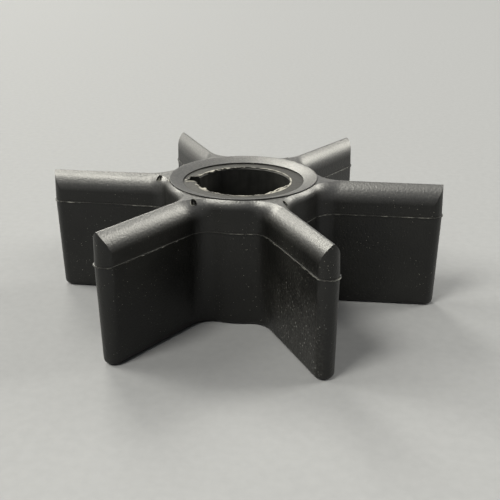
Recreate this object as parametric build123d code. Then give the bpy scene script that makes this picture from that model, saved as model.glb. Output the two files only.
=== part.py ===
from build123d import *
from math import asin, cos, pi, radians, sin, sqrt, tan
import os

# A flexible-vane pump impeller: a rubber hub with straight radial vanes, moulded round a rigid
# keyed sleeve. Millimetres. The origin is on the bore axis, in the plane that the impeller
# stands on. +Z is along the bore, and the first vane points along +X.

# ---- rigid sleeve ----
BORE_RADIUS = 8.0
BORE_CHAMFER = 0.3
SLEEVE_WALL = 2.3
SLEEVE_TOP_SINK = 0.25      # sleeve end below the rubber round it, on top
SLEEVE_FOOT_SINK = 0.3      # sleeve end above the plane that the impeller stands on
KEYWAY_WIDTH = 3.0
KEYWAY_BACK = 0.7           # what the keyway leaves of the sleeve's wall
KEYWAY_CORNER = 0.5
KEYWAY_ANGLE = 180.0        # degrees from +X

# ---- hub ----
RUBBER_WALL = 3.05          # rubber round the sleeve, at the parting line
HUB_EDGE_SETBACK = 0.6      # from the hub's wall in to the top of its rounded edge
HUB_EDGE_RISE = 1.4         # height of that rounded edge
RING_LEDGE = 0.1            # from the top of the rounded edge in to the raised ring
RING_STEP = 0.2             # height of the raised ring above the vanes
RING_LAND = 0.25            # flat top of the ring's outer edge
DISH_DROP = 0.65            # fall of the dished ring towards the sleeve

# ---- vanes ----
VANE_COUNT = 6
VANE_HEIGHT = 21.6          # up to the ridge along each vane's top
TIP_RADIUS = 33.7           # bore axis to vane tip, at the parting line
ROOT_THICKNESS = 4.14       # vane thickness at the hub's wall, at the parting line
TIP_THICKNESS = 3.48        # vane thickness where the rounded tip begins
ROOT_FILLET = 3.7           # hollow corner between a vane and the hub
ARCH_RISE = 3.3             # height of the arched top above the flat flanks
RIDGE_WIDTH = 0.3           # narrow land where the two sides of the arch meet
ARCH_BANDS = 7              # narrow straight bands that make up the arch
FOOT_RADIUS = 0.9           # rounding of the bottom edge, all the way round
FOOT_BANDS = 4              # narrow straight bands that make up that rounding

# ---- mould parting line, flash and drafts ----
UPPER_WALL = 2.0            # flat flank between the parting line and the arch
FLASH_WIDTH = 0.16          # how far the thin fin of flash stands out
FLASH_THICKNESS = 0.18
FLANK_DRAFT = 0.45          # degrees, below the parting line
HUB_DRAFT = 0.9             # degrees, below the parting line
TIP_DRAFT = 1.3             # degrees, below the parting line
UPPER_DRAFT = 2.0           # degrees, above the parting line

# ---- gate pits, one beside each vane's root ----
PIT_RADIUS = 0.5
PIT_FLOOR_DROP = 0.85       # below the ridge
PIT_SETBACK = 1.05          # from the hub's wall, out along the vane
PIT_OFFSET = 1.45           # from the vane's middle plane

# ---- worked out from the sizes above ----
PITCH = 360.0 / VANE_COUNT
SLEEVE_RADIUS = BORE_RADIUS + SLEEVE_WALL
HUB_RADIUS = SLEEVE_RADIUS + RUBBER_WALL
SPRING_HEIGHT = VANE_HEIGHT - ARCH_RISE
PARTING_HEIGHT = SPRING_HEIGHT - UPPER_WALL
RING_HEIGHT = VANE_HEIGHT + RING_STEP
DISH_FOOT = RING_HEIGHT - DISH_DROP
SLEEVE_TOP = DISH_FOOT - SLEEVE_TOP_SINK
TIP_STATION = TIP_RADIUS - TIP_THICKNESS / 2
UPPER_DRAW = UPPER_WALL * tan(radians(UPPER_DRAFT))
ARCH_SETBACK = TIP_THICKNESS / 2 - UPPER_DRAW - RIDGE_WIDTH / 2
RING_RADIUS = HUB_RADIUS - UPPER_DRAW - HUB_EDGE_SETBACK - RING_LEDGE
OVERRUN = 1.0               # how far a cutting or joining shape runs past its edge


def drawn_in(height, lower_draft):
    """How far a drafted wall lies inside its place at the parting line."""
    if height < PARTING_HEIGHT:
        return (PARTING_HEIGHT - height) * tan(radians(lower_draft))
    return (height - PARTING_HEIGHT) * tan(radians(UPPER_DRAFT))


def arc_radius(rise, setback):
    """Radius of an arc that starts upright and comes in by setback over its rise."""
    return (rise**2 + setback**2) / (2 * setback)


def rounded_in(climb, rise, setback):
    """How far such an arc has come in after a climb, which is below nought under the arc."""
    radius = arc_radius(rise, setback)
    return radius - sqrt(radius**2 - max(climb, 0.0) ** 2)


def vane_half_widths(height):
    """Half the vane's thickness at the hub's wall and at the tip, and what the arch took off."""
    wall = drawn_in(min(height, SPRING_HEIGHT), FLANK_DRAFT)
    half_root = ROOT_THICKNESS / 2 - wall
    half_tip = TIP_THICKNESS / 2 - wall
    inset = rounded_in(height - SPRING_HEIGHT, ARCH_RISE, ARCH_SETBACK)
    keep = 1 - inset / half_tip
    return half_root * keep, half_tip * keep, inset


def hub_radius(height):
    """Radius of the hub's wall, with its rounded upper edge."""
    wall = HUB_RADIUS - drawn_in(min(height, SPRING_HEIGHT), HUB_DRAFT)
    climb = height - VANE_HEIGHT + HUB_EDGE_RISE
    return wall - rounded_in(climb, HUB_EDGE_RISE, HUB_EDGE_SETBACK)


def tip_circle(height):
    """Place along the vane and radius of the round end, tangent to both flat flanks."""
    reach = TIP_RADIUS - drawn_in(height, TIP_DRAFT)
    half_root, half_tip, _ = vane_half_widths(min(height, SPRING_HEIGHT))
    normal, offset = flank_line(half_root, half_tip)
    radius = (offset - reach * normal.X) / (1 - normal.X)
    return reach - radius, radius


def flank_line(half_root, half_tip):
    """Outward normal of a flank, and the flank's distance from the axis along it."""
    run = TIP_STATION - HUB_RADIUS
    normal = Vector(half_root - half_tip, run).normalized()
    return normal, normal.dot(Vector(TIP_STATION, half_tip))


def vane_edge_points(height, grow):
    """Points along one side of a vane, from the hub's wall out to its round end."""
    half_root, half_tip, inset = vane_half_widths(height)
    hub = hub_radius(height) + grow
    fillet = ROOT_FILLET + inset - grow
    normal, offset = flank_line(half_root + grow, half_tip + grow)
    along = Vector(normal.Y, -normal.X)
    stand_off = offset + fillet
    reach = sqrt((hub + fillet) ** 2 - stand_off**2)
    centre = normal * stand_off + along * reach
    on_hub = centre * (hub / (hub + fillet))
    on_flank = centre - normal * fillet
    between = centre - (normal + centre.normalized()).normalized() * fillet
    tip_place, tip_round = tip_circle(height)
    tip_round += grow
    tip_centre = Vector(tip_place, 0)
    rise = offset - tip_centre.dot(normal)
    on_tip = tip_centre + normal * rise + along * sqrt(max(tip_round**2 - rise**2, 0.0))
    return on_hub, between, on_flank, on_tip, Vector(tip_place + tip_round, 0)


def outline(height, grow=0.0):
    """The whole impeller's outline at a height, as a face, grown outwards by a small amount."""
    edges = []
    plus = vane_edge_points(height, grow)
    minus = [Vector(point.X, -point.Y) for point in plus]
    hub_middle = Vector(hub_radius(height) + grow, 0).rotate(Axis.Z, PITCH / 2)
    next_vane = minus[0].rotate(Axis.Z, PITCH)
    side = [
        ThreePointArc(minus[0], minus[1], minus[2]),
        Line(minus[2], minus[3]),
        ThreePointArc(minus[3], plus[4], plus[3]),
        Line(plus[3], plus[2]),
        ThreePointArc(plus[2], plus[1], plus[0]),
        ThreePointArc(plus[0], hub_middle, next_vane),
    ]
    for index in range(VANE_COUNT):
        edges += [Rot(0, 0, index * PITCH) * edge for edge in side]
    return Pos(0, 0, height) * make_face(edges)


def turned(points):
    """Solid turned about the bore axis from (radius, height) points."""
    return revolve(make_face(Plane.XZ * Polyline(*points, close=True)), Axis.Z)


def foot_sections():
    """Heights from the bottom up through the rounded edge, with how far each lies inside."""
    turns = [pi / 2 * band / FOOT_BANDS for band in range(FOOT_BANDS + 1)]
    return [(FOOT_RADIUS * (1 - cos(turn)), FOOT_RADIUS * (sin(turn) - 1)) for turn in turns]


def arch_sections():
    """Heights up the vanes' arched tops, closer together as the two sides lean in."""
    radius = arc_radius(ARCH_RISE, ARCH_SETBACK)
    step = asin(ARCH_RISE / radius) / ARCH_BANDS
    heights = [SPRING_HEIGHT + radius * sin(step * band) for band in range(ARCH_BANDS)]
    return [(height, 0) for height in heights + [VANE_HEIGHT]]


def banded(sections):
    """Solid with straight bands between outlines, each at its height and grown by its amount."""
    return loft([outline(height, grow) for height, grow in sections], ruled=True)


def vaned_body():
    """Hub and vanes, with the thin fin of flash between the two halves of the mould."""
    half_fin = FLASH_THICKNESS / 2
    lower = banded(foot_sections() + [(PARTING_HEIGHT - half_fin, 0)])
    fin = extrude(outline(PARTING_HEIGHT, FLASH_WIDTH), half_fin, both=True)
    upper = banded([(PARTING_HEIGHT + half_fin, 0)] + arch_sections())
    return lower + fin + upper


def hub_ring():
    """Raised ring on top of the hub, still solid in the middle."""
    disc = [
        (0, VANE_HEIGHT - OVERRUN),
        (RING_RADIUS, VANE_HEIGHT - OVERRUN),
        (RING_RADIUS, RING_HEIGHT),
        (0, RING_HEIGHT),
    ]
    return turned(disc)


def dish_and_sleeve_seat():
    """What the sleeve, and the dish above it, take out of the rubber."""
    lip = RING_RADIUS - RING_LAND
    space = [
        (0, -OVERRUN),
        (SLEEVE_RADIUS, -OVERRUN),
        (SLEEVE_RADIUS, DISH_FOOT),
        (lip, RING_HEIGHT),
        (lip, RING_HEIGHT + OVERRUN),
        (0, RING_HEIGHT + OVERRUN),
    ]
    return turned(space)


def gate_pit(index):
    """Shallow round pit beside a vane's root, where the rubber entered the mould."""
    on_floor = (Align.CENTER, Align.CENTER, Align.MIN)
    pit = Cylinder(PIT_RADIUS, PIT_FLOOR_DROP + OVERRUN, align=on_floor)
    place = Pos(HUB_RADIUS + PIT_SETBACK, PIT_OFFSET, VANE_HEIGHT - PIT_FLOOR_DROP)
    return Rot(0, 0, index * PITCH) * place * pit


def rubber_body():
    """The whole rubber moulding."""
    body = vaned_body() + hub_ring()
    body -= dish_and_sleeve_seat()
    for index in range(VANE_COUNT):
        body -= gate_pit(index)
    return body


def hub_insert():
    """Rigid sleeve with a chamfered bore and a keyway along its whole length."""
    section = [
        (BORE_RADIUS + BORE_CHAMFER, SLEEVE_FOOT_SINK),
        (SLEEVE_RADIUS, SLEEVE_FOOT_SINK),
        (SLEEVE_RADIUS, SLEEVE_TOP),
        (BORE_RADIUS + BORE_CHAMFER, SLEEVE_TOP),
        (BORE_RADIUS, SLEEVE_TOP - BORE_CHAMFER),
        (BORE_RADIUS, SLEEVE_FOOT_SINK + BORE_CHAMFER),
    ]
    key_reach = SLEEVE_RADIUS - KEYWAY_BACK
    slot = Pos(key_reach / 2, 0) * Rectangle(key_reach, KEYWAY_WIDTH)
    slot = fillet(slot.vertices().group_by(Axis.X)[-1], KEYWAY_CORNER)
    keyway = Rot(0, 0, KEYWAY_ANGLE) * extrude(slot, RING_HEIGHT)
    return turned(section) - keyway


def main():
    os.makedirs("parts", exist_ok=True)
    export_step(rubber_body(), "parts/rubber_body.step")
    export_step(hub_insert(), "parts/hub_insert.step")


main()
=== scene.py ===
import math
import random
import bmesh
import bpy
from mathutils import Matrix, Vector, noise


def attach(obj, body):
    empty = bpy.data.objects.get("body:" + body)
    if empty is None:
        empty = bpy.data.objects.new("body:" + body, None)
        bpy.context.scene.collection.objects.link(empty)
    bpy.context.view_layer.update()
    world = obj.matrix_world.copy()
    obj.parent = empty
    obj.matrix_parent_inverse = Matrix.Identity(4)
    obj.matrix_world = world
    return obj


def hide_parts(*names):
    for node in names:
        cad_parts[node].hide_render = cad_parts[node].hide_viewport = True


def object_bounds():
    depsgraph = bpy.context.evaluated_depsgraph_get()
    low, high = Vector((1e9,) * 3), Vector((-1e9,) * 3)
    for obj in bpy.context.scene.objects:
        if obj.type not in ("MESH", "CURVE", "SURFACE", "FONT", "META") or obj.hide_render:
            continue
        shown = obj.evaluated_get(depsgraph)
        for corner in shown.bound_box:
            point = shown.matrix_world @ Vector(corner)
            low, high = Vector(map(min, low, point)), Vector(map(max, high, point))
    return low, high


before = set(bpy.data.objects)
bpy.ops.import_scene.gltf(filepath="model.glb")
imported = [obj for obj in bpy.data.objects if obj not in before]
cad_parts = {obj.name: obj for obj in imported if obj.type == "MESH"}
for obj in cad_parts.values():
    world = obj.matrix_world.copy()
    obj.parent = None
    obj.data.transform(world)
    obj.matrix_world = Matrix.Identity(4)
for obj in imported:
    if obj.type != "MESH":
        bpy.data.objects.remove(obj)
cad_bounds = [list(corner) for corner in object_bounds()]
MM = 0.001

# ---- Camera ----
# It looks down on the impeller from in front, a little towards the vane on the right.
# The impeller fills most of the frame, as a small part does on a bench.
CAMERA_AZIMUTH = math.radians(8.046)
CAMERA_ELEVATION = math.radians(22.271)
CAMERA_ROLL = math.radians(-0.127)
CAMERA_OFFSET = Vector((1.0914, 7.5028, 147.81)) * MM    # right, up and back from the origin
SENSOR_WIDTH = 36                                        # in millimetres, as the lens is
LENS_LENGTH = 58.82
NEAREST_SEEN = 5 * MM
FURTHEST_SEEN = 50

camera_data = bpy.data.cameras.new("bench_view")
camera_data.sensor_width = SENSOR_WIDTH
camera_data.lens = LENS_LENGTH
camera_data.clip_start = NEAREST_SEEN
camera_data.clip_end = FURTHEST_SEEN
camera = bpy.data.objects.new("bench_view", camera_data)
camera_turn = (
    Matrix.Rotation(CAMERA_AZIMUTH, 4, "Z")
    @ Matrix.Rotation(math.pi / 2 - CAMERA_ELEVATION, 4, "X")
    @ Matrix.Rotation(CAMERA_ROLL, 4, "Z")
)
camera.matrix_world = camera_turn @ Matrix.Translation(CAMERA_OFFSET)
bpy.context.scene.collection.objects.link(camera)
bpy.context.scene.camera = camera

# ---- Rubber moulding ----
# One piece of black nitrile rubber: the hub, its dished ring and six vanes. It is moulded in
# a two-part mould, where it bonds to the rigid sleeve in its middle.
RUBBER_BLACK = (0.006, 0.006, 0.0054, 1)
RUBBER_BLOOM = (0.014, 0.014, 0.0125, 1)
# Grey of dust; on faces that look up it is also a painted sheen.
DUST_AND_SHEEN_GREY = (0.066, 0.064, 0.058, 1)
DUST_GREY = (0.45, 0.44, 0.38, 1)
GRIT_GREY = (0.16, 0.155, 0.13, 1)
LINT_GREY = (0.42, 0.42, 0.40, 1)
RUBBER_IOR = 1.92
UP = (0, 0, 1)
BLOOM_SIZE = 9 * MM
GRAIN_SIZE = 0.34 * MM          # grain of the mould's face
GRAIN_DEPTH = 0.05 * MM
DRAWN_SIZE = 0.45 * MM          # marks that run down the flanks
DRAWN_DEPTH = 0.03 * MM
DRAWN_LENGTHENING = (1, 1, 0.12)
SPECK_CORE = 0.4                # a speck is solid out to this share of its size
SPECK_EDGE = 0.6                # and gone at this one
DUST_SPACING = 0.6 * MM
DUST_SIZE = 0.09 * MM
DUST_PATCHES = 5 * MM
GRIT_SPACING = 0.42 * MM
GRIT_SIZE = 0.085 * MM
GRIT_PATCHES = 3 * MM
LINT_SPOT = Vector((11.2, -23.2, 4.2)) * MM    # middle of the linty patch on one vane's flank
LINT_SIDE = (-0.866, -0.5, 0)                  # the way that flank looks
LINT_FULL = 4 * MM                             # from the middle out to where it thins
LINT_END = 12.5 * MM
LINT_SPACING = 0.42 * MM
LINT_SIZE = 0.17 * MM
LINT_CLUMPS = 1.5 * MM
LINT_LENGTHENING = (1, 1, 0.6)
HAZE_SIZE = 0.4 * MM
SMOOTH_BELOW = math.radians(28)
WELD_GAP = 0.002 * MM


def new_shader(name, roughness, specular):
    """A new material, its node tree and its shader, with the even values set on the shader."""
    material = bpy.data.materials.new(name)
    material.use_nodes = True
    tree = material.node_tree
    shader = tree.nodes["Principled BSDF"]
    shader.inputs["Roughness"].default_value = roughness
    shader.inputs["Specular IOR Level"].default_value = specular
    return material, tree, shader


def own_place(tree, stretch=(1, 1, 1)):
    """The piece's own coordinates, in metres, with a pattern stretched along the axes."""
    place = tree.nodes.new("ShaderNodeTexCoord")
    mapping = tree.nodes.new("ShaderNodeMapping")
    mapping.inputs["Scale"].default_value = stretch
    tree.links.new(place.outputs["Object"], mapping.inputs["Vector"])
    return mapping.outputs["Vector"]


def grain(tree, place, size, detail=3.0, roughness=0.5):
    """Soft noise whose grains are about size across, in metres."""
    texture = tree.nodes.new("ShaderNodeTexNoise")
    texture.inputs["Scale"].default_value = 1 / size
    texture.inputs["Detail"].default_value = detail
    texture.inputs["Roughness"].default_value = roughness
    tree.links.new(place, texture.inputs["Vector"])
    return texture.outputs["Fac"]


def facing(tree, way):
    """How far a face looks a given way: one where it looks straight there, nought across it."""
    place = tree.nodes.new("ShaderNodeTexCoord")
    along = tree.nodes.new("ShaderNodeVectorMath")
    along.operation = "DOT_PRODUCT"
    along.inputs[1].default_value = way
    tree.links.new(place.outputs["Normal"], along.inputs[0])
    return along.outputs["Value"]


def levels(tree, value, low, high, at_low=0.0, at_high=1.0):
    """Spreads the part of a value between low and high over a new range, and holds the rest."""
    remap = tree.nodes.new("ShaderNodeMapRange")
    for socket, amount in zip(remap.inputs[1:5], (low, high, at_low, at_high)):
        socket.default_value = amount
    tree.links.new(value, remap.inputs["Value"])
    return remap.outputs["Result"]


def times(tree, first, second):
    """Product of two values."""
    node = tree.nodes.new("ShaderNodeMath")
    node.operation = "MULTIPLY"
    tree.links.new(first, node.inputs[0])
    tree.links.new(second, node.inputs[1])
    return node.outputs["Value"]


def blend_colours(tree, amount, below, above):
    """Colour that goes from below to above with the amount; either may be a colour or a socket."""
    node = tree.nodes.new("ShaderNodeMix")
    node.data_type = "RGBA"
    tree.links.new(amount, node.inputs["Factor"])
    colour_sockets = [socket for socket in node.inputs if socket.type == "RGBA"]
    for socket, colour in zip(colour_sockets, (below, above)):
        if isinstance(colour, tuple):
            socket.default_value = colour
        else:
            tree.links.new(colour, socket)
    return next(socket for socket in node.outputs if socket.type == "RGBA")


def raise_surface(tree, height, depth, strength, under=None):
    """Bump of a real depth in metres, on top of another bump if one is given."""
    bump = tree.nodes.new("ShaderNodeBump")
    bump.inputs["Distance"].default_value = depth
    bump.inputs["Strength"].default_value = strength
    tree.links.new(height, bump.inputs["Height"])
    if under:
        tree.links.new(under, bump.inputs["Normal"])
    return bump.outputs["Normal"]


def specks(tree, place, spacing, size):
    """One where a dot of dust lies: scattered dots of about size, a spacing apart."""
    cells = tree.nodes.new("ShaderNodeTexVoronoi")
    cells.inputs["Scale"].default_value = 1 / spacing
    tree.links.new(place, cells.inputs["Vector"])
    share = size / spacing
    core = share * SPECK_CORE
    edge = share * SPECK_EDGE
    return levels(tree, cells.outputs["Distance"], core, edge, at_low=1, at_high=0)


def nearness(tree, place, spot, inner, outer):
    """One within the inner distance of a spot, falling to nought at the outer one."""
    gap = tree.nodes.new("ShaderNodeVectorMath")
    gap.operation = "DISTANCE"
    gap.inputs[1].default_value = spot
    tree.links.new(place, gap.inputs[0])
    return levels(tree, gap.outputs["Value"], inner, outer, at_low=1, at_high=0)


rubber, tree, shader = new_shader("black_nitrile_rubber", roughness=0.42, specular=0.5)
shader.inputs["IOR"].default_value = RUBBER_IOR
place = own_place(tree)
cloud = grain(tree, place, BLOOM_SIZE, detail=4)
fine = grain(tree, place, GRAIN_SIZE, detail=3)
streaks = grain(tree, own_place(tree, DRAWN_LENGTHENING), DRAWN_SIZE, detail=2)
bloom = levels(tree, cloud, 0.35, 0.7)
upwards = levels(tree, facing(tree, UP), 0.05, 0.7)

# Faces that look up are painted paler, as settled dust and as painted sheen. Dots of dust and grit
# lie in patches all over.
top_sheen_and_dust = times(tree, upwards, levels(tree, fine, 0.42, 0.58, at_low=0.15))
dusty = levels(tree, grain(tree, place, DUST_PATCHES, detail=3), 0.48, 0.58)
dust = times(tree, specks(tree, place, DUST_SPACING, DUST_SIZE), dusty)
gritty = levels(tree, grain(tree, place, GRIT_PATCHES, detail=3), 0.40, 0.62, at_high=0.7)
grit = times(tree, specks(tree, place, GRIT_SPACING, GRIT_SIZE), gritty)

# One flank carries more: a haze of dust, smears down it and short fibres of lint.
linty = nearness(tree, place, LINT_SPOT, LINT_FULL, LINT_END)
linty = times(tree, linty, levels(tree, facing(tree, LINT_SIDE), 0.1, 0.7))
powder = grain(tree, place, HAZE_SIZE, detail=5, roughness=0.6)
haze = times(tree, linty, levels(tree, powder, 0.42, 0.64, at_low=0.05, at_high=0.6))
smears = times(tree, linty, levels(tree, streaks, 0.56, 0.72, at_high=0.35))
clumps = levels(tree, grain(tree, place, LINT_CLUMPS, detail=4), 0.42, 0.62, at_high=0.8)
fibres = specks(tree, own_place(tree, LINT_LENGTHENING), LINT_SPACING, LINT_SIZE)
lint = times(tree, fibres, times(tree, linty, clumps))

colour = blend_colours(tree, bloom, RUBBER_BLACK, RUBBER_BLOOM)
# Faces that look up are lightened here: dust and painted sheen.
colour = blend_colours(tree, top_sheen_and_dust, colour, DUST_AND_SHEEN_GREY)
colour = blend_colours(tree, haze, colour, DUST_AND_SHEEN_GREY)
colour = blend_colours(tree, smears, colour, DUST_AND_SHEEN_GREY)
colour = blend_colours(tree, grit, colour, GRIT_GREY)
colour = blend_colours(tree, lint, colour, LINT_GREY)
colour = blend_colours(tree, dust, colour, DUST_GREY)
tree.links.new(colour, shader.inputs["Base Color"])
shine = levels(tree, upwards, 0, 1, at_low=0.17)
tree.links.new(shine, shader.inputs["Specular IOR Level"])
dullness = levels(tree, cloud, 0.3, 0.7, at_low=0.38, at_high=0.46)
tree.links.new(dullness, shader.inputs["Roughness"])
drawn_sides = times(tree, streaks, levels(tree, upwards, 0, 0.3, at_low=1, at_high=0))
normal = raise_surface(tree, drawn_sides, DRAWN_DEPTH, strength=0.5)
normal = raise_surface(tree, fine, GRAIN_DEPTH, strength=1.0, under=normal)
tree.links.new(normal, shader.inputs["Normal"])


def smooth_object(name, shape, material):
    """Object from a finished mesh, smooth but for its real edges, riding on the part."""
    shape.normal_update()
    for face in shape.faces:
        face.smooth = True
    for edge in shape.edges:
        edge.smooth = edge.calc_face_angle(0) < SMOOTH_BELOW
    mesh = bpy.data.meshes.new(name)
    shape.to_mesh(mesh)
    shape.free()
    if mesh.has_custom_normals:
        mesh.attributes.remove(mesh.attributes["custom_normal"])
    mesh.materials.append(material)
    piece = bpy.data.objects.new(name, mesh)
    bpy.context.scene.collection.objects.link(piece)
    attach(piece, "root")
    return piece


def moulding_copy():
    """The rubber's mesh, with its loose triangles welded together."""
    shape = bmesh.new()
    shape.from_mesh(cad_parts["rubber_body"].data)
    bmesh.ops.remove_doubles(shape, verts=shape.verts, dist=WELD_GAP)
    return shape


moulding = smooth_object("rubber_moulding", moulding_copy(), rubber)
even_flanks = moulding.modifiers.new("even_flanks", "WEIGHTED_NORMAL")
even_flanks.keep_sharp = True
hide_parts("rubber_body")

# ---- Flash on the parting line ----
# Where the two halves of the mould met, a thin lip of rubber runs round the hub and vanes.
# It is trimmed roughly, so it is thicker here and there, and stands out in a few torn tabs.
FLASH_LEVEL = 16.3 * MM
FLASH_STEP = 0.3 * MM
FLASH_THICKNESS = 0.15 * MM
FLASH_SUNK = 0.05 * MM
USUAL_SHARE = 0.75              # share of the full thickness that trimming leaves
LEAST_SHARE = 0.1
WAVE_SIZE = 1.7 * MM
WAVE_SHARE = 0.45
NICK_SIZE = 0.5 * MM
NICK_SHARE = 0.35
SEAT_CLEAR = 11.5 * MM          # nothing nearer the axis is on the outer outline
SAME_PLACE = 0.01 * MM
# Grey of trimmed rubber, pale enough to stand also as a painted highlight on the flash.
EDGE_GREY = (0.40, 0.40, 0.36, 1)
PALE_EDGE_PATCHES = 0.9 * MM
EDGE_GRAIN = 0.15 * MM
EDGE_DEPTH = 0.02 * MM

# Each tab: its place, how much thicker it is there, and how wide, in millimetres.
TORN_TABS = [
    ((-18.1, -27.6), 1.3, 0.30),
    ((-17.4, -28.2), 0.9, 0.45),
    ((17.7, -28.1), 1.0, 0.60),
    ((18.3, -27.0), 1.3, 0.22),
    ((22.3, -1.7), 1.3, 0.30),
    ((-30.6, -1.7), 1.2, 0.40),
    ((14.9, -28.0), 1.2, 0.40),
]

torn_rubber, tree, shader = new_shader("torn_rubber_edge", roughness=0.38, specular=0.5)
place = own_place(tree)
# The flash is painted pale grey in patches: partly trimmed rubber's own grey, partly a painted
# highlight along its lip.
wear_and_highlight = levels(tree, grain(tree, place, PALE_EDGE_PATCHES, detail=3), 0.40, 0.62)
edge_colour = blend_colours(tree, wear_and_highlight, RUBBER_BLOOM, EDGE_GREY)
tree.links.new(edge_colour, shader.inputs["Base Color"])
rough_edge = grain(tree, place, EDGE_GRAIN, detail=2)
normal = raise_surface(tree, rough_edge, EDGE_DEPTH, strength=0.6)
tree.links.new(normal, shader.inputs["Normal"])


def level_outline(level):
    """The moulding's outer outline at a level, as a loop of short edges."""
    shape = moulding_copy()
    everything = shape.verts[:] + shape.edges[:] + shape.faces[:]
    bmesh.ops.bisect_plane(
        shape, geom=everything, plane_co=(0, 0, level), plane_no=UP,
        clear_inner=True, clear_outer=True,
    )
    seat = [vert for vert in shape.verts if vert.co.xy.length < SEAT_CLEAR]
    bmesh.ops.delete(shape, geom=seat, context="VERTS")
    bmesh.ops.remove_doubles(shape, verts=shape.verts, dist=SAME_PLACE)
    for edge in shape.edges[:]:
        cuts = int(edge.calc_length() / FLASH_STEP)
        if cuts:
            bmesh.ops.subdivide_edges(shape, edges=[edge], cuts=cuts)
    return shape


def spots_in_order(shape):
    """The points of a closed loop of edges, one after another."""
    start = shape.verts[:][0]
    spots = [start.co.copy()]
    edge = start.link_edges[0]
    vert = edge.other_vert(start)
    while vert is not start:
        spots.append(vert.co.copy())
        edge = [other for other in vert.link_edges if other is not edge][0]
        vert = edge.other_vert(vert)
    shape.free()
    return spots


def keep_in_box(shape):
    """Holds every point of a shape inside the whole object's box."""
    low, high = cad_bounds
    for vert in shape.verts:
        vert.co = [min(max(vert.co[k], low[k]), high[k]) for k in range(3)]


def threads(name, paths, thickness, material, closed=False):
    """Thin round threads along paths of (spot, thickness factor), as one piece."""
    curve = bpy.data.curves.new(name, "CURVE")
    curve.dimensions = "3D"
    curve.bevel_depth = thickness / 2
    curve.bevel_resolution = 1
    curve.use_fill_caps = not closed
    for path in paths:
        spline = curve.splines.new("POLY")
        spline.points.add(len(path) - 1)
        spline.use_cyclic_u = closed
        for point, (spot, factor) in zip(spline.points, path):
            point.co = (*spot, 1)
            point.radius = factor
    shaper = bpy.data.objects.new(name + "_line", curve)
    mesh = bpy.data.meshes.new_from_object(shaper)
    bpy.data.objects.remove(shaper)
    shape = bmesh.new()
    shape.from_mesh(mesh)
    bmesh.ops.remove_doubles(shape, verts=shape.verts, dist=WELD_GAP / 4)
    bmesh.ops.recalc_face_normals(shape, faces=shape.faces)
    keep_in_box(shape)
    return smooth_object(name, shape, material)


def flash_thickness(spot):
    """How thick the flash is at a spot, as a share of its usual thickness."""
    waves = noise.noise(spot / WAVE_SIZE) * WAVE_SHARE
    nicks = noise.noise(spot / NICK_SIZE) * NICK_SHARE
    share = USUAL_SHARE + (waves + nicks)
    for middle, size, width in TORN_TABS:
        gap = (spot.xy - Vector(middle) * MM).length / (width * MM)
        share += size * math.exp(-gap * gap)
    return max(share, LEAST_SHARE)


line = spots_in_order(level_outline(FLASH_LEVEL))
path = []
for index, spot in enumerate(line):
    along = line[(index + 1) % len(line)] - line[index - 1]
    inward = along.cross(Vector(UP)).normalized() * FLASH_SUNK
    inward *= -1 if inward.dot(spot) > 0 else 1
    path.append((spot + inward, flash_thickness(spot)))
flash = threads("parting_flash", [path], FLASH_THICKNESS, torn_rubber, closed=True)

# ---- Gate pits ----
# The rubber was injected beside each vane's root. Each gate left a small pit with a raised
# lip and the torn stub of its sprue inside.
GATES = 6
PIT_PLACE = Vector((14.4, 1.45, 20.75)) * MM
PIT_RADIUS = 0.5 * MM
RIM_WIDTH = 0.02 * MM           # a point this near the pit's wall is on its rim
RIM_RISE = 0.01 * MM            # and at least this far above its floor
PIT_LIP = 0.13 * MM
LIP_LEAST = 0.7                 # share of that thickness where the lip is thinnest
LIP_SPREAD = 0.6
STUB_RADIUS = 0.2 * MM
STUB_TAPER = 0.55
STUB_SIDES = 14
STUB_HEIGHT = 0.42 * MM
STUB_LEAN = 14                  # in degrees, either way
STUB_TORN = (-0.12, 0.16)       # how far its torn end goes down and up, in millimetres
TEAR_SEED = 7


def pit_rim(middle):
    """Points of the pit's upper edge, in order round it."""
    spots = []
    for vert in moulding.data.vertices:
        from_axis = (vert.co.xy - middle.xy).length
        if abs(from_axis - PIT_RADIUS) < RIM_WIDTH and vert.co.z > middle.z + RIM_RISE:
            spots.append(vert.co.copy())
    return sorted(spots, key=lambda spot: math.atan2(spot.y - middle.y, spot.x - middle.x))


chance = random.Random(TEAR_SEED)
stubs = bmesh.new()
lips = []
for index in range(GATES):
    middle = Matrix.Rotation(math.radians(360 / GATES * index), 3, "Z") @ PIT_PLACE
    lips.append([(spot, LIP_LEAST + LIP_SPREAD * chance.random()) for spot in pit_rim(middle)])
    lean_turn = math.radians(chance.uniform(-STUB_LEAN, STUB_LEAN))
    lean = Matrix.Rotation(lean_turn, 4, (1, chance.uniform(-1, 1), 0))
    seat = Matrix.Translation(middle + Vector((0, 0, STUB_HEIGHT / 2))) @ lean
    stub = bmesh.ops.create_cone(
        stubs, cap_ends=True, segments=STUB_SIDES, radius1=STUB_RADIUS,
        radius2=STUB_RADIUS * STUB_TAPER, depth=STUB_HEIGHT, matrix=seat,
    )["verts"]
    for vert in stub:
        if vert.co.z > middle.z + STUB_HEIGHT / 2:
            vert.co.z += chance.uniform(*STUB_TORN) * MM
pit_lips = threads("gate_pit_lips", lips, PIT_LIP, torn_rubber, closed=True)
sprue_stubs = smooth_object("gate_sprue_stubs", stubs, torn_rubber)

# ---- Keyed sleeve ----
# A rigid black plastic bush in the middle of the hub, with a keyway for the shaft's key.
# The rubber is moulded round it. Its faces are smoother, with fine marks along the bore.
SLEEVE_BLACK = (0.012, 0.0125, 0.012, 1)
SLEEVE_GREY = (0.030, 0.030, 0.028, 1)
MARK_SIZE = 0.5 * MM
MARK_DEPTH = 0.02 * MM
MARK_LENGTHENING = (1, 1, 0.04)
SLEEVE_GRAIN = 0.12 * MM
SLEEVE_GRAIN_DEPTH = 0.01 * MM
SLEEVE_CLOUDS = 3 * MM

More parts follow.
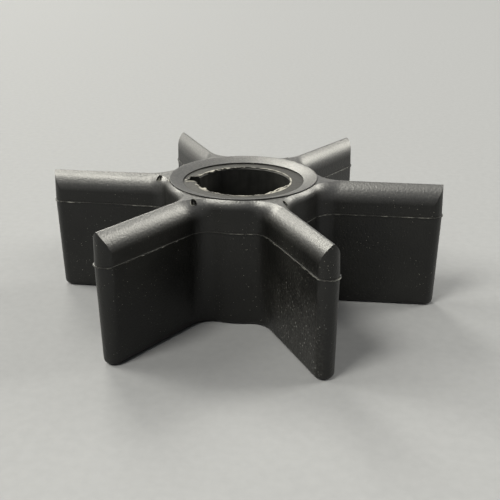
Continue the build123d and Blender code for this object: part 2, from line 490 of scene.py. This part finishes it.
sleeve_plastic, tree, shader = new_shader("black_bush_plastic", roughness=0.42, specular=0.6)
place = own_place(tree)
marks = grain(tree, own_place(tree, MARK_LENGTHENING), MARK_SIZE, detail=3)
fine = grain(tree, place, SLEEVE_GRAIN, detail=2)
cloud = grain(tree, place, SLEEVE_CLOUDS, detail=3)
upwards = levels(tree, facing(tree, UP), 0.4, 0.9)
# Faces that look up are painted paler here too, as settled dust and as painted sheen.
top_sheen_and_dust = times(tree, upwards, levels(tree, fine, 0.3, 0.7, at_low=0.6))
colour = blend_colours(tree, levels(tree, cloud, 0.35, 0.7), SLEEVE_BLACK, SLEEVE_GREY)
colour = blend_colours(tree, top_sheen_and_dust, colour, DUST_AND_SHEEN_GREY)
tree.links.new(colour, shader.inputs["Base Color"])
dullness = levels(tree, marks, 0.3, 0.7, at_low=0.36, at_high=0.48)
tree.links.new(dullness, shader.inputs["Roughness"])
normal = raise_surface(tree, marks, MARK_DEPTH, strength=0.3)
normal = raise_surface(tree, fine, SLEEVE_GRAIN_DEPTH, strength=0.4, under=normal)
tree.links.new(normal, shader.inputs["Normal"])
for material_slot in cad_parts["hub_insert"].material_slots:
    material_slot.material = sleeve_plastic

# ---- Torn rubber round the bore ----
# The bore was cut through a thin skin of rubber over the sleeve's end. The skin is left as a
# ragged film round the bore's edge, with crumbs on the sleeve, threads over the bore's edge
# and a little lint on the dished ring.
SLEEVE_TOP = 20.9 * MM
FILM_OUTSIDE = 8.32 * MM
FILM_INSIDE = 8.08 * MM
FILM_THICKNESS = 0.06 * MM
FILM_LEVEL = SLEEVE_TOP + FILM_THICKNESS / 4
FILM_POINTS = 420
FILM_WAVES = 0.8 * MM
FILM_LIFT = 0.5                 # share of the tears' depth by which the film lifts
KEYWAY_HALF_TURN = math.radians(11.5)
EVEN_TEAR = 0.03 * MM
SMOOTH_SHARE = 0.3              # shares of a tear's depth: what is even along it,
COARSE_TEARS = 9
COARSE_SHARE = 1.1              # what comes and goes slowly round the bore,
FINE_TEARS = 30
FINE_SHARE = 0.9                # and what comes and goes quickly
PALE_TEAR = (0.68, 0.66, 0.59, 1)
PALE_PATCHES = 1.7 * MM
TEAR_GRAIN = 0.12 * MM
TEAR_GRAIN_DEPTH = 0.02 * MM
CRUMB_LUMPS = 1.7
CRUMB_SWELL = 0.7
THREAD_THICKNESS = 0.2 * MM
THREAD_SHARES = (0.5, 1.2)      # thinnest and thickest share of that

# Each arc: its middle and spread in degrees, and how deep it is torn, in millimetres.
RAGGED_ARCS = [
    (128, 42, 0.50),
    (228, 36, 0.45),
    (300, 30, 0.16),
    (30, 70, 0.05),
]

# Each crumb: its middle and half its size each way, in millimetres, and its turn in degrees.
CRUMBS = [
    ((-9.25, -1.62, 20.93), (0.62, 0.16, 0.07), 24),
    ((-9.86, -0.85, 20.93), (0.20, 0.14, 0.08), 60),
    ((-7.62, -3.30, 20.88), (0.34, 0.10, 0.06), -58),
    ((-6.20, -5.35, 20.86), (0.52, 0.12, 0.07), -46),
    ((-4.70, -6.66, 20.86), (0.60, 0.12, 0.07), -34),
    ((-2.20, -7.80, 20.88), (0.34, 0.12, 0.08), -14),
    ((-8.20, 2.30, 20.92), (0.40, 0.14, 0.07), 70),
    ((-5.30, 6.30, 20.92), (0.30, 0.16, 0.08), 40),
    ((-4.30, 7.00, 20.93), (0.24, 0.14, 0.08), 20),
    ((-9.60, 1.20, 20.92), (0.26, 0.12, 0.06), 110),
    ((-8.90, 1.44, 20.90), (0.48, 0.13, 0.07), 8),
    ((-9.55, 0.30, 20.90), (0.14, 0.34, 0.06), 12),
    ((-8.35, -1.46, 20.90), (0.42, 0.13, 0.07), -18),
]

# Each thread and each line of lint: the spots that it runs through, in millimetres.
BORE_THREADS = [
    [
        (5.6, -5.9, 20.86),
        (5.9, -4.9, 20.92),
        (6.3, -4.0, 20.95),
        (6.9, -3.0, 20.92),
        (7.95, -2.1, 20.86),
    ],
    [(6.2, -5.3, 20.84), (6.6, -4.2, 20.88), (7.1, -3.3, 20.86), (7.7, -2.9, 20.82)],
    [(6.6, -4.6, 20.90), (7.0, -3.5, 20.97), (7.5, -1.9, 20.92), (7.95, -1.2, 20.86)],
    [(4.9, -6.4, 20.86), (5.3, -5.6, 20.90), (5.9, -5.0, 20.88)],
]
DISH_LINT = [
    [(-12.3, -2.7, 21.72), (-11.9, -3.3, 21.62), (-11.2, -3.9, 21.50), (-10.4, -4.9, 21.30)],
    [(-11.9, -3.3, 21.62), (-12.2, -4.0, 21.78), (-11.9, -4.6, 21.80)],
]

# This pale grey is partly the colour of torn rubber and lint, partly a painted highlight on the
# torn edges of the film and crumbs.
pale_rubber, tree, shader = new_shader("pale_torn_rubber", roughness=0.45, specular=0.5)
place = own_place(tree)
mottle = levels(tree, grain(tree, place, PALE_PATCHES, detail=5), 0.40, 0.62)
colour = blend_colours(tree, mottle, DUST_AND_SHEEN_GREY, PALE_TEAR)
tree.links.new(colour, shader.inputs["Base Color"])
rough_tear = grain(tree, place, TEAR_GRAIN, detail=2)
normal = raise_surface(tree, rough_tear, TEAR_GRAIN_DEPTH, strength=0.6)
tree.links.new(normal, shader.inputs["Normal"])


def tear_depth(turn):
    """How deep the film is torn at an angle round the bore."""
    depth = EVEN_TEAR
    for middle, spread, size in RAGGED_ARCS:
        gap = (math.degrees(turn) - middle + 180) % 360 - 180
        depth += size * MM * math.exp(-(gap / spread) ** 2)
    return depth


def torn_edge(turn):
    """How far into the bore the film reaches at an angle, beyond its usual edge."""
    coarse = noise.noise(Vector((math.cos(turn), math.sin(turn), 0)) * COARSE_TEARS)
    small = noise.noise(Vector((math.cos(turn), math.sin(turn), 1)) * FINE_TEARS)
    return tear_depth(turn) * (SMOOTH_SHARE + COARSE_SHARE * coarse + FINE_SHARE * small)


film = bmesh.new()
bmesh.ops.create_circle(film, segments=FILM_POINTS, radius=FILM_OUTSIDE)
bmesh.ops.translate(film, verts=film.verts, vec=(0, 0, FILM_LEVEL))
grown = bmesh.ops.extrude_edge_only(film, edges=film.edges[:])["geom"]
inner_ring = [part for part in grown if isinstance(part, bmesh.types.BMVert)]
for vert in inner_ring:
    turn = math.atan2(vert.co.y, vert.co.x)
    reach = FILM_INSIDE - torn_edge(turn)
    vert.co.xy = (math.cos(turn) * reach, math.sin(turn) * reach)
    vert.co.z += noise.noise(vert.co / FILM_WAVES) * tear_depth(turn) * FILM_LIFT
over_keyway = [
    vert for vert in film.verts
    if abs(abs(math.atan2(vert.co.y, vert.co.x)) - math.pi) < KEYWAY_HALF_TURN
]
bmesh.ops.delete(film, geom=over_keyway, context="VERTS")
bmesh.ops.recalc_face_normals(film, faces=film.faces)
bore_film = smooth_object("bore_skin_film", film, pale_rubber)
film_wall = bore_film.modifiers.new("film_thickness", "SOLIDIFY")
film_wall.thickness = FILM_THICKNESS
film_wall.offset = 0

crumbs = bmesh.new()
for middle, size, turn in CRUMBS:
    seat = Matrix.Translation(Vector(middle) * MM) @ Matrix.Rotation(math.radians(turn), 4, "Z")
    fresh = bmesh.ops.create_icosphere(crumbs, subdivisions=3, radius=1)["verts"]
    for vert in fresh:
        swell = 1 + CRUMB_SWELL * noise.noise(vert.co * CRUMB_LUMPS + Vector(middle))
        vert.co = Vector([vert.co[k] * size[k] * swell * MM for k in range(3)])
    bmesh.ops.transform(crumbs, matrix=seat, verts=fresh)
torn_crumbs = smooth_object("torn_crumbs", crumbs, pale_rubber)

paths = []
for strand in BORE_THREADS + DISH_LINT:
    paths.append([(Vector(spot) * MM, chance.uniform(*THREAD_SHARES)) for spot in strand])
bore_threads = threads("bore_threads", paths, THREAD_THICKNESS, pale_rubber)

# ---- Bench and light ----
# A plain pale bench top, with five soft square lamps hung round it and above it.
# Beyond it is a weak even fill, which is paler where it is seen than where it lights.
BENCH_GREY = (0.47, 0.48, 0.505, 1)
BENCH_PALER = (0.50, 0.51, 0.535, 1)
BENCH_MOTTLE = 1.5 * MM
BENCH_SIZE = 4.4
LAMP_DISTANCE = 2.4
LAMP_COLOUR = (1, 0.975, 0.87)
FILL_COLOUR = (1.0, 1.0, 1.0, 1)
FILL_LEVEL = 0.08
BACKDROP_LEVEL = 0.42

# Each lamp: its name, the way to it from the impeller, its width in metres, and its watts.
LAMPS = [
    ("left_lamp", (-0.84, 0.28, 0.46), 0.8, 21.5),
    ("high_left_lamp", (-0.66, 0.04, 0.75), 0.8, 10),
    ("front_lamp", (-0.36, -0.46, 0.81), 0.7, 27),
    ("right_lamp", (0.80, 0.38, 0.46), 1.0, 26),
    ("window_lamp", (-0.35, 0.68, 0.64), 0.7, 17),
]

bench_paint, tree, shader = new_shader("pale_bench", roughness=0.7, specular=0.3)
place = own_place(tree)
mottle = levels(tree, grain(tree, place, BENCH_MOTTLE, detail=3), 0.3, 0.7)
colour = blend_colours(tree, mottle, BENCH_GREY, BENCH_PALER)
tree.links.new(colour, shader.inputs["Base Color"])

shape = bmesh.new()
bmesh.ops.create_grid(shape, x_segments=1, y_segments=1, size=BENCH_SIZE / 2)
bench_mesh = bpy.data.meshes.new("bench")
shape.to_mesh(bench_mesh)
shape.free()
bench_mesh.materials.append(bench_paint)
bench = bpy.data.objects.new("bench", bench_mesh)
bpy.context.scene.collection.objects.link(bench)


def hang_lamp(name, way, size, power):
    """A square soft lamp that hangs one distance from the impeller and faces it."""
    lamp_data = bpy.data.lights.new(name, "AREA")
    lamp_data.shape = "SQUARE"
    lamp_data.size = size
    lamp_data.energy = power
    lamp_data.color = LAMP_COLOUR
    lamp = bpy.data.objects.new(name, lamp_data)
    lamp_way = Vector(way).normalized()
    lamp.location = lamp_way * LAMP_DISTANCE
    lamp.rotation_mode = "QUATERNION"
    lamp.rotation_quaternion = lamp_way.to_track_quat("Z", "Y")
    bpy.context.scene.collection.objects.link(lamp)


for name, way, size, power in LAMPS:
    hang_lamp(name, way, size, power)

world = bpy.data.worlds.new("even_fill")
world.use_nodes = True
sky = world.node_tree.nodes["Background"]
sky.inputs["Color"].default_value = FILL_COLOUR
seen = world.node_tree.nodes.new("ShaderNodeLightPath")
shown = seen.outputs["Is Camera Ray"]
for kind in ("Is Glossy Ray", "Is Transmission Ray"):
    either = world.node_tree.nodes.new("ShaderNodeMath")
    either.operation = "MAXIMUM"
    world.node_tree.links.new(shown, either.inputs[0])
    world.node_tree.links.new(seen.outputs[kind], either.inputs[1])
    shown = either.outputs["Value"]
level = levels(world.node_tree, shown, 0, 1, at_low=FILL_LEVEL, at_high=BACKDROP_LEVEL)
world.node_tree.links.new(level, sky.inputs["Strength"])
bpy.context.scene.world = world
bpy.context.scene.view_settings.view_transform = "Standard"
